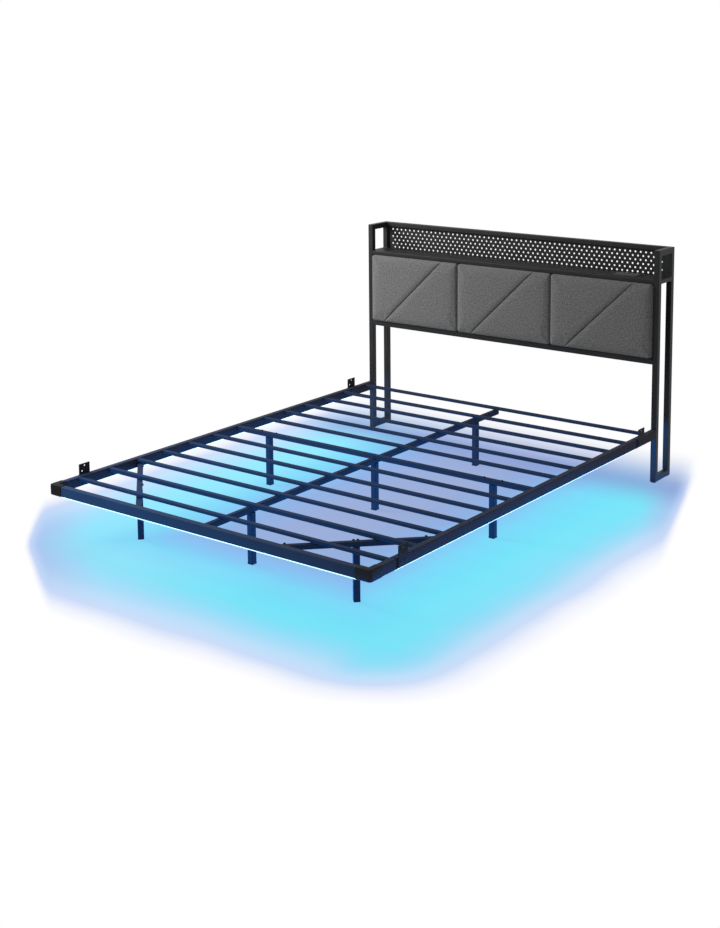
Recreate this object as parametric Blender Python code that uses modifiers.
"""Floating bed: a steel platform on recessed legs, with light strips under its rails, and a
headboard of two standing loops that hold a shelf, a perforated back and three padded cushions.

Metres, +Z up. X runs across the bed, +Y from its foot to its headboard. The origin is on the
floor, under the middle of the whole bed.
"""

import math

import bmesh
import bpy
from mathutils import Matrix, Vector

# The bed as a whole
BED_WIDTH = 1.530
FRAME_LENGTH = 2.040
HEADBOARD_DEPTH = 0.145
HEADBOARD_HEIGHT = 1.010
RAIL_TOP_HEIGHT = 0.235
TOUCH_GAP = 0.0003
CUT_OVERRUN = 0.010

# Steel tubes
TUBE_WALL = 0.0012
TUBE_CORNER_RADIUS = 0.002
EDGE_STEPS = 2
RAIL_WIDTH = 0.025
RAIL_HEIGHT = 0.038
POST_WIDTH = 0.025
SLAT_WIDTH = 0.020
SLAT_HEIGHT = 0.012
SLAT_DROP = 0.002
BEAM_WIDTH = 0.020
BEAM_HEIGHT = 0.023
BRACE_WIDTH = 0.022
BRACE_HEIGHT = 0.018
LEG_WIDTH = 0.024

# Where the side rails are joined, and the corners of the foot
FOOT_STUB_REACH = 0.145
HEAD_STUB_LENGTH = 0.178
CORNER_REACH = 0.062
CORNER_OVER_RAIL = 0.001
CORNER_RADIUS = 0.012
CORNER_STEPS = 5
CORNER_EDGE_RADIUS = 0.0015
SPIGOT_LENGTH = 0.030
SPIGOT_CLEARANCE = 0.0004

# Slats, counted from the foot, as shares of the frame's length; two of them are cross bars,
# which are deeper than the rest
SLAT_PLACE_SHARES = (
    0.0652, 0.1441, 0.2191, 0.2902, 0.3647, 0.4387, 0.5162,
    0.6025, 0.6725, 0.7417, 0.8132, 0.8868, 0.9706,
)
CROSS_BAR_HEIGHTS = {2: 0.016, 7: 0.020}
CENTRE_LEG_NAMES = ("foot", "middle", "head")
CENTRE_LEG_SLATS = (2, 7, 12)
SIDE_LEG_FROM_RAIL = 0.175
BRACE_REACH = 0.430
BRACE_UNDER_BAR = 0.002

# Feet of the legs
FOOT_PLUG_HEIGHT = 0.006
FOOT_PLUG_EDGE_RADIUS = 0.0015
FOOT_SPIGOT_LENGTH = 0.015

# Plates that stand up beside the mattress
STOP_WIDTH = 0.054
STOP_THICKNESS = 0.003
STOP_FROM_SEAM = 0.006
STOP_ABOVE_RAIL = 0.040
STOP_ABOVE_RAIL_FOOT = 0.003
STOP_HOLE_RADIUS = 0.004
STOP_HOLE_STEPS = 12
STOP_UPPER_HOLE_ALONG = 0.028
STOP_UPPER_HOLE_ABOVE_RAIL = 0.0315
STOP_LOWER_HOLE_ALONG = 0.015
STOP_LOWER_HOLE_ABOVE_RAIL = 0.011

# Light strips under the rails
STRIP_WIDTH = 0.012
STRIP_HEIGHT = 0.007
STRIP_EDGE_RADIUS = 0.0015
STRIP_END_GAP = 0.003

# Headboard
LOOP_PAD_HEIGHT = 0.003
LOOP_PAD_WIDTH = 0.018
LOOP_PAD_HOLE_RADIUS = 0.004
SHELF_FROM_TOP = 0.127
SHELF_RAIL_HEIGHT = 0.018
SHELF_BACK_RAIL_DROP = 0.005
SHELF_BOARD_THICKNESS = 0.012
TOP_RAIL_HEIGHT = 0.020
CUSHION_SPACE_HEIGHT = 0.322
BACKING_THICKNESS = 0.012
CHARGER_WIDTH = 0.110
CHARGER_DEPTH = 0.065
CHARGER_HEIGHT = 0.003
CHARGER_FROM_POST = 0.155
CHARGER_EDGE_RADIUS = 0.001

# Perforated back of the shelf
MESH_THICKNESS = 0.001
MESH_HOLE_RADIUS = 0.0046
MESH_HOLE_SIDES = 6
MESH_HOLE_PITCH = 0.025
MESH_ROW_PITCH = 0.0174
MESH_SIDE_MARGIN = 0.020
MESH_TOP_MARGIN = 0.008
MESH_FIRST_ROW_ABOVE_SHELF = 0.0065

# Cushions, side by side across the headboard
CUSHIONS = 3
CUSHION_GAP = 0.0008
CUSHION_PROUD = 0.016
CUSHION_CROWN = 0.010
CUSHION_DRAW = 0.0012
CUSHION_COLUMNS = 16
CUSHION_ROWS = 12
CUSHION_EDGE_POWER = 5
CHANNEL_DEPTH = 0.005
CHANNEL_HALF_WIDTH = 0.006
CHANNEL_FOOT_SHARE = 0.146
CHANNEL_HEAD_SHARE = 0.822

# Colour, roughness and metallic value of each finish
BLACK_STEEL = ((0.022, 0.023, 0.028, 1.0), 0.42, 0.35)
BLACK_PLASTIC = ((0.020, 0.020, 0.022, 1.0), 0.55, 0.0)
BLACK_BOARD = ((0.018, 0.018, 0.018, 1.0), 0.60, 0.0)
GREY_LINEN = ((0.105, 0.107, 0.112, 1.0), 0.95, 0.0)
LIT_SILICONE = ((0.45, 0.85, 1.0, 1.0), 0.40, 0.0)

# Faces and levels that several pieces share
RIGHT = 1
LEFT = -1
SIDES = {"left": LEFT, "right": RIGHT}
FOOT_FACE = -(FRAME_LENGTH + HEADBOARD_DEPTH - CORNER_OVER_RAIL) / 2
POST_FRONT = FOOT_FACE + FRAME_LENGTH
POST_BACK = POST_FRONT + POST_WIDTH
REAR_FACE = POST_FRONT + HEADBOARD_DEPTH
REAR_POST_FRONT = REAR_FACE - POST_WIDTH
OUTER_FACE = BED_WIDTH / 2
INNER_FACE = OUTER_FACE - RAIL_WIDTH
BETWEEN_POSTS = OUTER_FACE - POST_WIDTH - TOUCH_GAP
RAIL_BOTTOM = RAIL_TOP_HEIGHT - RAIL_HEIGHT
SLAT_TOP = RAIL_TOP_HEIGHT - SLAT_DROP
BEAM_TOP = SLAT_TOP - SLAT_HEIGHT - TOUCH_GAP
BEAM_BOTTOM = BEAM_TOP - BEAM_HEIGHT
FOOT_BAR, MIDDLE_BAR = CROSS_BAR_HEIGHTS
BRACE_TOP = SLAT_TOP - CROSS_BAR_HEIGHTS[FOOT_BAR] - BRACE_UNDER_BAR
BRACE_BOTTOM = BRACE_TOP - BRACE_HEIGHT
FOOT_SEAM = FOOT_FACE + FOOT_STUB_REACH
HEAD_SEAM = POST_FRONT - HEAD_STUB_LENGTH
CORNER_END = FOOT_FACE + CORNER_REACH
SHELF_HEIGHT = HEADBOARD_HEIGHT - SHELF_FROM_TOP
SHELF_RAIL_BOTTOM = SHELF_HEIGHT - SHELF_RAIL_HEIGHT
LOWER_RAIL_TOP = SHELF_RAIL_BOTTOM - CUSHION_SPACE_HEIGHT

bed = bpy.data.collections.new("floating_bed")
cutters = bpy.data.collections.new("cutters")


def clear_scene():
    for old in list(bpy.data.objects):
        bpy.data.objects.remove(old, do_unlink=True)
    bpy.context.scene.collection.children.link(bed)
    bpy.context.scene.collection.children.link(cutters)


def finish_of(name, look):
    """A material of the piece's own, with its colour, roughness and metallic value."""
    colour, roughness, metallic = look
    made = bpy.data.materials.new(name + "_finish")
    made.use_nodes = True
    shader = made.node_tree.nodes["Principled BSDF"]
    shader.inputs["Base Color"].default_value = colour
    shader.inputs["Roughness"].default_value = roughness
    shader.inputs["Metallic"].default_value = metallic
    return made


def object_from(bm, name, look, place=(0, 0, 0)):
    """A part of the bed made from a bmesh, with its origin at the given place."""
    bmesh.ops.recalc_face_normals(bm, faces=bm.faces)
    mesh = bpy.data.meshes.new(name)
    bm.to_mesh(mesh)
    bm.free()
    part = bpy.data.objects.new(name, mesh)
    part.location = place
    part.data.materials.append(finish_of(name, look))
    bed.objects.link(part)
    return part


def block_mesh(low, high):
    """A bmesh block that fills the space between two corners, centred on its own origin."""
    bm = bmesh.new()
    bmesh.ops.create_cube(bm, size=1.0)
    bmesh.ops.scale(bm, vec=Vector(high) - Vector(low), verts=bm.verts)
    bm.normal_update()
    return bm


def middle_of(low, high):
    return (Vector(low) + Vector(high)) / 2


def block(name, low, high, look, edge_radius=0.0):
    """A solid block between two corners, its edges rounded where a radius is given."""
    part = object_from(block_mesh(low, high), name, look, middle_of(low, high))
    if edge_radius:
        round_edges(part, edge_radius)
    return part


def round_edges(part, radius):
    bevel = part.modifiers.new("rounded_edges", "BEVEL")
    bevel.width = radius
    bevel.segments = EDGE_STEPS
    bevel.limit_method = "ANGLE"


def tube(name, low, high, along, look=BLACK_STEEL, turn=0.0):
    """A square or flat tube, open at both ends: an open shell with rounded long edges whose
    wall goes inwards. Its length lies along axis 0, 1 or 2, and turn swings it about Z."""
    bm = block_mesh(low, high)
    ends = [face for face in bm.faces if abs(face.normal[along]) > 1 / 2]
    bmesh.ops.delete(bm, geom=ends, context="FACES_ONLY")
    part = object_from(bm, name, look, middle_of(low, high))
    part.rotation_euler.z = turn
    round_edges(part, TUBE_CORNER_RADIUS)
    wall = part.modifiers.new("wall", "SOLIDIFY")
    wall.thickness = TUBE_WALL
    wall.offset = -1
    wall.use_even_offset = True
    return part


def as_cutter(part):
    """Sets a helper apart: it shapes others and isn't a piece of the bed."""
    bed.objects.unlink(part)
    cutters.objects.link(part)
    part.hide_render = True
    part.display_type = "WIRE"
    return part


def cutter_block(name, low, high):
    return as_cutter(block(name, low, high, BLACK_STEEL))


def cutter_rod(name, middle, radius, length, along, steps):
    """A round cutter, its length along axis 0 or 2."""
    bm = bmesh.new()
    bmesh.ops.create_cone(
        bm, cap_ends=True, segments=steps, radius1=radius, radius2=radius, depth=length
    )
    if along == 0:
        bmesh.ops.rotate(bm, verts=bm.verts, matrix=Matrix.Rotation(math.pi / 2, 3, "Y"))
    return as_cutter(object_from(bm, name, BLACK_STEEL, middle))


def boolean(part, other, operation="DIFFERENCE"):
    step = part.modifiers.new(operation.lower() + "_" + other.name, "BOOLEAN")
    step.operation = operation
    step.solver = "EXACT"
    step.object = other


def across(low_x, high_x, side):
    """Two X places on one side of the bed, in rising order."""
    return sorted((low_x * side, high_x * side))


def slat_place(number):
    return FOOT_FACE + SLAT_PLACE_SHARES[number - 1] * FRAME_LENGTH


def slat_height(number):
    return CROSS_BAR_HEIGHTS.get(number, SLAT_HEIGHT)


def make_side_rails():
    """Each side is a short stub at the foot, the long rail and a stub bolted to the post."""
    stretches = {
        "foot_stub": (CORNER_END + TOUCH_GAP, FOOT_SEAM - TOUCH_GAP),
        "side_rail": (FOOT_SEAM, HEAD_SEAM - TOUCH_GAP),
        "head_stub": (HEAD_SEAM, POST_FRONT - TOUCH_GAP),
    }
    for side_name, side in SIDES.items():
        low_x, high_x = across(INNER_FACE, OUTER_FACE, side)
        for name, (start, end) in stretches.items():
            tube(
                name + "_" + side_name,
                (low_x, start, RAIL_BOTTOM),
                (high_x, end, RAIL_TOP_HEIGHT),
                along=1,
            )


def make_foot_rail():
    half = OUTER_FACE - CORNER_REACH - TOUCH_GAP
    tube(
        "foot_rail",
        (-half, FOOT_FACE, RAIL_BOTTOM),
        (half, FOOT_FACE + RAIL_WIDTH, RAIL_TOP_HEIGHT),
        along=0,
    )


def make_corner_cap(side_name, side):
    """A moulded elbow that closes the corner, with a spigot pushed into each tube."""
    outer = OUTER_FACE + CORNER_OVER_RAIL
    front = FOOT_FACE - CORNER_OVER_RAIL
    bottom = RAIL_BOTTOM - CORNER_OVER_RAIL
    top = RAIL_TOP_HEIGHT + CORNER_OVER_RAIL
    inner = OUTER_FACE - CORNER_REACH
    name = "corner_cap_" + side_name
    low_x, high_x = across(inner, outer, side)
    low = (low_x, front, bottom)
    high = (high_x, CORNER_END, top)
    bm = block_mesh(low, high)
    outer_edge = [
        edge
        for edge in bm.edges
        if all(v.co.x * side > 0 and v.co.y < 0 for v in edge.verts)
    ]
    bmesh.ops.bevel(
        bm,
        geom=outer_edge,
        offset=CORNER_RADIUS,
        segments=CORNER_STEPS,
        profile=0.5,
        affect="EDGES",
        material=-1,
    )
    cap = object_from(bm, name, BLACK_PLASTIC, middle_of(low, high))
    elbow_low_x, elbow_high_x = across(
        inner - CUT_OVERRUN, INNER_FACE - CORNER_OVER_RAIL, side
    )
    elbow = cutter_block(
        name + "_inside",
        (elbow_low_x, FOOT_FACE + RAIL_WIDTH + CORNER_OVER_RAIL, bottom - CUT_OVERRUN),
        (elbow_high_x, CORNER_END + CUT_OVERRUN, top + CUT_OVERRUN),
    )
    boolean(cap, elbow)
    round_edges(cap, CORNER_EDGE_RADIUS)
    inset = TUBE_WALL + SPIGOT_CLEARANCE
    across_low, across_high = across(inner - SPIGOT_LENGTH, inner + SPIGOT_LENGTH, side)
    along_low, along_high = across(INNER_FACE + inset, OUTER_FACE - inset, side)
    spigots = {
        "_foot_spigot": (
            (across_low, FOOT_FACE + inset, RAIL_BOTTOM + inset),
            (across_high, FOOT_FACE + RAIL_WIDTH - inset, RAIL_TOP_HEIGHT - inset),
        ),
        "_side_spigot": (
            (along_low, CORNER_END - SPIGOT_LENGTH, RAIL_BOTTOM + inset),
            (along_high, CORNER_END + SPIGOT_LENGTH, RAIL_TOP_HEIGHT - inset),
        ),
    }
    for ending, (spigot_low, spigot_high) in spigots.items():
        boolean(cap, cutter_block(name + ending, spigot_low, spigot_high), "UNION")


def make_slats():
    """Thirteen flat tubes between the side rails. Two are deeper cross bars that legs hold up."""
    half = INNER_FACE - TOUCH_GAP
    for number in range(1, len(SLAT_PLACE_SHARES) + 1):
        middle = slat_place(number)
        tube(
            f"slat_{number:02d}",
            (-half, middle - SLAT_WIDTH / 2, SLAT_TOP - slat_height(number)),
            (half, middle + SLAT_WIDTH / 2, SLAT_TOP),
            along=0,
        )


def make_centre_beam():
    """The tube down the middle of the bed, let in under each cross bar."""
    half = BEAM_WIDTH / 2
    start = FOOT_FACE + RAIL_WIDTH + TOUCH_GAP
    end = slat_place(len(SLAT_PLACE_SHARES)) + SLAT_WIDTH / 2
    beam = tube("centre_beam", (-half, start, BEAM_BOTTOM), (half, end, BEAM_TOP), along=1)
    for number, bar_height in CROSS_BAR_HEIGHTS.items():
        middle = slat_place(number)
        reach = SLAT_WIDTH / 2 + TOUCH_GAP
        notch = cutter_block(
            f"beam_notch_{number:02d}",
            (-half - CUT_OVERRUN, middle - reach, SLAT_TOP - bar_height - TOUCH_GAP),
            (half + CUT_OVERRUN, middle + reach, SLAT_TOP + CUT_OVERRUN),
        )
        boolean(beam, notch)


def make_braces():
    """A flat tube at 45 degrees across each foot corner, its ends cut to lie on the rails."""
    rail_inner = FOOT_FACE + RAIL_WIDTH
    half_length = BRACE_REACH / math.sqrt(2) + CUT_OVERRUN + BRACE_WIDTH
    for side_name, side in SIDES.items():
        x, y = brace_middle(side)
        name = "diagonal_brace_" + side_name
        brace = tube(
            name,
            (x - half_length, y - BRACE_WIDTH / 2, BRACE_BOTTOM),
            (x + half_length, y + BRACE_WIDTH / 2, BRACE_TOP),
            along=0,
            turn=side * math.pi / 4,
        )
        room = BRACE_REACH
        low_x, high_x = across(INNER_FACE - TOUCH_GAP, INNER_FACE + room, side)
        rails = {
            "_side_end": ((low_x, rail_inner - room), (high_x, rail_inner + 2 * room)),
            "_foot_end": (
                (min(x, 0) - room, rail_inner - room),
                (max(x, 0) + room, rail_inner + TOUCH_GAP),
            ),
        }
        for ending, (low, high) in rails.items():
            end_cut = cutter_block(
                name + ending,
                (*low, BRACE_BOTTOM - CUT_OVERRUN),
                (*high, BRACE_TOP + CUT_OVERRUN),
            )
            boolean(brace, end_cut)


def brace_middle(side):
    """Where a corner brace's middle is, which is also where its leg stands."""
    return (
        side * (INNER_FACE - BRACE_REACH / 2),
        FOOT_FACE + RAIL_WIDTH + BRACE_REACH / 2,
    )


def foot_plug_mesh():
    """A leg's plastic foot: a base with a spigot that fills the tube, standing on z = 0."""
    half = LEG_WIDTH / 2
    bm = block_mesh((-half, -half, 0), (half, half, FOOT_PLUG_HEIGHT))
    bmesh.ops.translate(bm, verts=bm.verts, vec=(0, 0, FOOT_PLUG_HEIGHT / 2))
    floor_edges = [e for e in bm.edges if all(v.co.z <= TOUCH_GAP for v in e.verts)]
    bmesh.ops.bevel(
        bm,
        geom=floor_edges,
        offset=FOOT_PLUG_EDGE_RADIUS,
        segments=EDGE_STEPS,
        profile=0.5,
        affect="EDGES",
        material=-1,
    )
    bm.normal_update()
    top = [face for face in bm.faces if face.normal.z > 1 / 2]
    margin = TUBE_WALL + SPIGOT_CLEARANCE
    bmesh.ops.inset_region(bm, faces=top, thickness=margin, use_even_offset=True)
    raised = bmesh.ops.extrude_face_region(bm, geom=top)["geom"]
    bmesh.ops.delete(bm, geom=top, context="FACES_ONLY")
    corners = [item for item in raised if isinstance(item, bmesh.types.BMVert)]
    bmesh.ops.translate(bm, verts=corners, vec=(0, 0, FOOT_SPIGOT_LENGTH))
    return bm


def make_leg(name, x, y, top, turn=0.0):
    """A square leg from its plastic foot up to what it carries."""
    half = LEG_WIDTH / 2
    tube(
        name,
        (x - half, y - half, FOOT_PLUG_HEIGHT + TOUCH_GAP),
        (x + half, y + half, top - TOUCH_GAP),
        along=2,
        turn=turn,
    )
    foot = object_from(foot_plug_mesh(), name + "_foot", BLACK_PLASTIC, (x, y, 0))
    foot.rotation_euler.z = turn


def make_legs():
    """Three legs under the beam, two under the middle cross bar and one under each brace."""
    for name, number in zip(CENTRE_LEG_NAMES, CENTRE_LEG_SLATS):
        make_leg("centre_leg_" + name, 0, slat_place(number), BEAM_BOTTOM)
    for side_name, side in SIDES.items():
        make_leg(
            "side_leg_" + side_name,
            side * (INNER_FACE - SIDE_LEG_FROM_RAIL),
            slat_place(MIDDLE_BAR),
            SLAT_TOP - CROSS_BAR_HEIGHTS[MIDDLE_BAR],
        )
        make_leg("corner_leg_" + side_name, *brace_middle(side), BRACE_BOTTOM, math.pi / 4)


def make_mattress_stops():
    """Upright plates on the outside of the rails, just past each joint in a side."""
    bottom = RAIL_BOTTOM + STOP_ABOVE_RAIL_FOOT
    top = RAIL_TOP_HEIGHT + STOP_ABOVE_RAIL
    holes = {
        "upper": (STOP_UPPER_HOLE_ALONG, STOP_UPPER_HOLE_ABOVE_RAIL),
        "lower": (STOP_LOWER_HOLE_ALONG, STOP_LOWER_HOLE_ABOVE_RAIL),
    }
    for end_name, seam in {"foot": FOOT_SEAM, "head": HEAD_SEAM}.items():
        start = seam + STOP_FROM_SEAM
        for side_name, side in SIDES.items():
            face = OUTER_FACE + TOUCH_GAP
            low_x, high_x = across(face, face + STOP_THICKNESS, side)
            name = f"mattress_stop_{end_name}_{side_name}"
            plate = block(
                name,
                (low_x, start, bottom),
                (high_x, start + STOP_WIDTH, top),
                BLACK_STEEL,
            )
            for place, (along, above) in holes.items():
                hole = cutter_rod(
                    f"{name}_{place}_hole",
                    ((low_x + high_x) / 2, start + along, RAIL_TOP_HEIGHT + above),
                    STOP_HOLE_RADIUS,
                    STOP_THICKNESS + CUT_OVERRUN,
                    0,
                    STOP_HOLE_STEPS,
                )
                boolean(plate, hole)


def make_light_strips():
    """Diffuser strips stuck under the middle of the foot rail and of both side rails."""
    top = RAIL_BOTTOM - TOUCH_GAP
    bottom = top - STRIP_HEIGHT
    middle = FOOT_FACE + RAIL_WIDTH / 2
    half = OUTER_FACE - CORNER_REACH - STRIP_END_GAP
    block(
        "light_strip_foot",
        (-half, middle - STRIP_WIDTH / 2, bottom),
        (half, middle + STRIP_WIDTH / 2, top),
        LIT_SILICONE,
        STRIP_EDGE_RADIUS,
    )
    for side_name, side in SIDES.items():
        rail_middle = side * (OUTER_FACE - RAIL_WIDTH / 2)
        block(
            "light_strip_" + side_name,
            (rail_middle - STRIP_WIDTH / 2, FOOT_SEAM + STRIP_END_GAP, bottom),
            (rail_middle + STRIP_WIDTH / 2, HEAD_SEAM - STRIP_END_GAP, top),
            LIT_SILICONE,
            STRIP_EDGE_RADIUS,
        )


def make_loop(side_name, side):
    """One end of the headboard: a welded tube frame with two openings, hollow all through. Its
    two floor pads have holes that run into the tube."""
    name = "headboard_loop_" + side_name
    low_x, high_x = across(OUTER_FACE - POST_WIDTH, OUTER_FACE, side)
    floor_bar_top = LOOP_PAD_HEIGHT + POST_WIDTH
    top_bar_bottom = HEADBOARD_HEIGHT - POST_WIDTH
    loop = block(
        name,
        (low_x, POST_FRONT, LOOP_PAD_HEIGHT),
        (high_x, REAR_FACE, HEADBOARD_HEIGHT),
        BLACK_STEEL,
    )
    bore = cutter_block(
        name + "_bore",
        (low_x + TUBE_WALL, POST_FRONT + TUBE_WALL, LOOP_PAD_HEIGHT + TUBE_WALL),
        (high_x - TUBE_WALL, REAR_FACE - TUBE_WALL, HEADBOARD_HEIGHT - TUBE_WALL),
    )
    openings = {
        "lower": (floor_bar_top, SHELF_RAIL_BOTTOM),
        "upper": (SHELF_HEIGHT, top_bar_bottom),
    }
    for place, (bottom, top) in openings.items():
        for piece, grown in ((loop, 0), (bore, TUBE_WALL)):
            gap = cutter_block(
                f"{piece.name}_{place}_opening",
                (low_x - CUT_OVERRUN, POST_BACK - grown, bottom - grown),
                (high_x + CUT_OVERRUN, REAR_POST_FRONT + grown, top + grown),
            )
            boolean(piece, gap)
    round_edges(loop, TUBE_CORNER_RADIUS)
    boolean(loop, bore)
    middle_x = (low_x + high_x) / 2
    half = LOOP_PAD_WIDTH / 2
    for place, y in {
        "front": POST_FRONT + POST_WIDTH / 2,
        "rear": REAR_FACE - POST_WIDTH / 2,
    }.items():
        pad = cutter_block(
            f"{name}_{place}_pad",
            (middle_x - half, y - half, 0),
            (middle_x + half, y + half, LOOP_PAD_HEIGHT + TUBE_WALL / 2),
        )
        boolean(loop, pad, "UNION")
        hole = cutter_rod(
            f"{name}_{place}_pad_hole",
            (middle_x, y, 0),
            LOOP_PAD_HOLE_RADIUS,
            2 * (LOOP_PAD_HEIGHT + TUBE_WALL + CUT_OVERRUN / 2),
            2,
            STOP_HOLE_STEPS,
        )
        boolean(loop, hole)


def make_headboard_rails():
    """The rails between the loops, each given by its front face, its top and its height."""
    rails = {
        "headboard_top_rail": (REAR_POST_FRONT, HEADBOARD_HEIGHT, TOP_RAIL_HEIGHT),
        "shelf_front_rail": (POST_FRONT, SHELF_HEIGHT, SHELF_RAIL_HEIGHT),
        "shelf_back_rail": (
            REAR_POST_FRONT,
            SHELF_HEIGHT - SHELF_BACK_RAIL_DROP,
            SHELF_RAIL_HEIGHT,
        ),
        "cushion_lower_rail": (POST_FRONT, LOWER_RAIL_TOP, POST_WIDTH),
    }
    for name, (front, top, height) in rails.items():
        tube(
            name,
            (-BETWEEN_POSTS, front, top - height),
            (BETWEEN_POSTS, front + POST_WIDTH, top),
            along=0,
        )


def make_shelf():
    """The shelf board lies between its two rails, with a charging panel near its right end."""
    block(
        "shelf_board",
        (-BETWEEN_POSTS, POST_BACK + TOUCH_GAP, SHELF_HEIGHT - SHELF_BOARD_THICKNESS),
        (BETWEEN_POSTS, REAR_POST_FRONT - TOUCH_GAP, SHELF_HEIGHT),
        BLACK_BOARD,
    )
    middle_x = BETWEEN_POSTS - CHARGER_FROM_POST
    middle_y = (POST_BACK + REAR_POST_FRONT) / 2
    bottom = SHELF_HEIGHT + TOUCH_GAP
    block(
        "charging_panel",
        (middle_x - CHARGER_WIDTH / 2, middle_y - CHARGER_DEPTH / 2, bottom),
        (middle_x + CHARGER_WIDTH / 2, middle_y + CHARGER_DEPTH / 2, bottom + CHARGER_HEIGHT),
        BLACK_PLASTIC,
        CHARGER_EDGE_RADIUS,
    )


def add_outline(curve, points):
    """One closed flat outline on a curve that is filled between its outlines."""
    spline = curve.splines.new("POLY")
    spline.points.add(len(points) - 1)
    for point, (x, y) in zip(spline.points, points):
        point.co = (x, y, 0, 1)
    spline.use_cyclic_u = True


def make_mesh_panel():
    """The perforated back of the shelf: a flat outline with staggered rows of holes."""
    bottom = SHELF_HEIGHT - SHELF_BACK_RAIL_DROP + TOUCH_GAP
    top = HEADBOARD_HEIGHT - TOP_RAIL_HEIGHT - TOUCH_GAP
    curve = bpy.data.curves.new("mesh_panel", "CURVE")
    curve.dimensions = "2D"
    curve.fill_mode = "BOTH"
    curve.extrude = MESH_THICKNESS / 2
    half = BETWEEN_POSTS
    add_outline(curve, [(-half, bottom), (half, bottom), (half, top), (-half, top)])
    first_row = SHELF_HEIGHT + MESH_FIRST_ROW_ABOVE_SHELF
    rows = 1 + int((top - MESH_TOP_MARGIN - first_row) / MESH_ROW_PITCH)
    long_row_holes = 1 + int(2 * (half - MESH_SIDE_MARGIN) / MESH_HOLE_PITCH)
    for row in range(rows):
        holes = long_row_holes - (row + 1) % 2
        height = first_row + row * MESH_ROW_PITCH
        for column in range(holes):
            x = (column - (holes - 1) / 2) * MESH_HOLE_PITCH
            turns = [2 * math.pi * step / MESH_HOLE_SIDES for step in range(MESH_HOLE_SIDES)]
            add_outline(
                curve,
                [
                    (x + MESH_HOLE_RADIUS * math.sin(a), height + MESH_HOLE_RADIUS * math.cos(a))
                    for a in turns
                ],
            )
    panel = bpy.data.objects.new("mesh_panel", curve)
    panel.data.materials.append(finish_of("mesh_panel", BLACK_STEEL))
    panel.rotation_euler.x = math.pi / 2
    panel.location.y = REAR_FACE - POST_WIDTH / 2
    bed.objects.link(panel)


def make_backing_board():
    """The board behind the cushions, its back face in line with the back of the rails."""
    back = POST_BACK
    block(
        "backing_board",
        (-BETWEEN_POSTS, back - BACKING_THICKNESS, LOWER_RAIL_TOP + TOUCH_GAP),
        (BETWEEN_POSTS, back, SHELF_RAIL_BOTTOM - TOUCH_GAP),
        BLACK_BOARD,
    )


def channel_lines(width, height):
    """The sewn channel rises from left to right. Gives a point on it and its flat normal."""
    foot = Vector(((CHANNEL_FOOT_SHARE - 1 / 2) * width, -height / 2, 0))
    head = Vector(((CHANNEL_HEAD_SHARE - 1 / 2) * width, height / 2, 0))
    run = (head - foot).normalized()
    return foot, Vector((run.y, -run.x, 0))


def make_cushion(name, middle_x, width):
    """A crowned pad, its sides drawn in a little, with one sewn channel across its face."""
    bottom = LOWER_RAIL_TOP + TOUCH_GAP
    height = SHELF_RAIL_BOTTOM - TOUCH_GAP - bottom
    back = POST_BACK - BACKING_THICKNESS - TOUCH_GAP
    depth = back - (POST_FRONT - CUSHION_PROUD)
    bm = bmesh.new()
    bmesh.ops.create_grid(bm, x_segments=CUSHION_COLUMNS, y_segments=CUSHION_ROWS, size=1.0)
    for v in bm.verts:
        v.co.x = math.sin(v.co.x * math.pi / 2) * width / 2
        v.co.y = math.sin(v.co.y * math.pi / 2) * height / 2
    point, across_channel = channel_lines(width, height)
    for shift in (-CHANNEL_HALF_WIDTH, 0, CHANNEL_HALF_WIDTH):
        bmesh.ops.bisect_plane(
            bm,
            geom=bm.verts[:] + bm.edges[:] + bm.faces[:],
            dist=TOUCH_GAP / 2,
            plane_co=point + across_channel * shift,
            plane_no=across_channel,
        )
    rim = [edge for edge in bm.edges if edge.is_boundary]
    back_edges = bmesh.ops.extrude_edge_only(bm, edges=rim)["geom"]
    back_verts = {item for item in back_edges if isinstance(item, bmesh.types.BMVert)}
    for v in bm.verts:
        u = v.co.x / (width / 2)
        w = v.co.y / (height / 2)
        if v not in back_verts:
            swell = (1 - abs(u) ** CUSHION_EDGE_POWER) * (1 - abs(w) ** CUSHION_EDGE_POWER)
            from_channel = abs((v.co - point).dot(across_channel))
            dip = max(0, 1 - from_channel / CHANNEL_HALF_WIDTH) * CHANNEL_DEPTH
            v.co.z = depth - CUSHION_CROWN + CUSHION_CROWN * math.sqrt(max(0, swell)) - dip
        v.co.x -= u * CUSHION_DRAW * (1 - w * w)
        v.co.y -= w * CUSHION_DRAW * (1 - u * u)
    last = [e for e in back_edges if isinstance(e, bmesh.types.BMEdge) and e.is_boundary]
    bmesh.ops.edgeloop_fill(bm, edges=last)
    cushion = object_from(bm, name, GREY_LINEN, (middle_x, back, bottom + height / 2))
    cushion.rotation_euler.x = math.pi / 2
    cushion.data.shade_smooth()
    cushion.data.set_sharp_from_angle(angle=math.pi / 4)


def make_cushions():
    pitch = 2 * BETWEEN_POSTS / CUSHIONS
    for number, name in enumerate(("left", "centre", "right")):
        middle = (number - (CUSHIONS - 1) / 2) * pitch
        make_cushion("cushion_" + name, middle, pitch - CUSHION_GAP)


clear_scene()
make_side_rails()
make_foot_rail()
for each_name, each_side in SIDES.items():
    make_corner_cap(each_name, each_side)
    make_loop(each_name, each_side)
make_slats()
make_centre_beam()
make_braces()
make_legs()
make_mattress_stops()
make_light_strips()
make_headboard_rails()
make_shelf()
make_mesh_panel()
make_backing_board()
make_cushions()
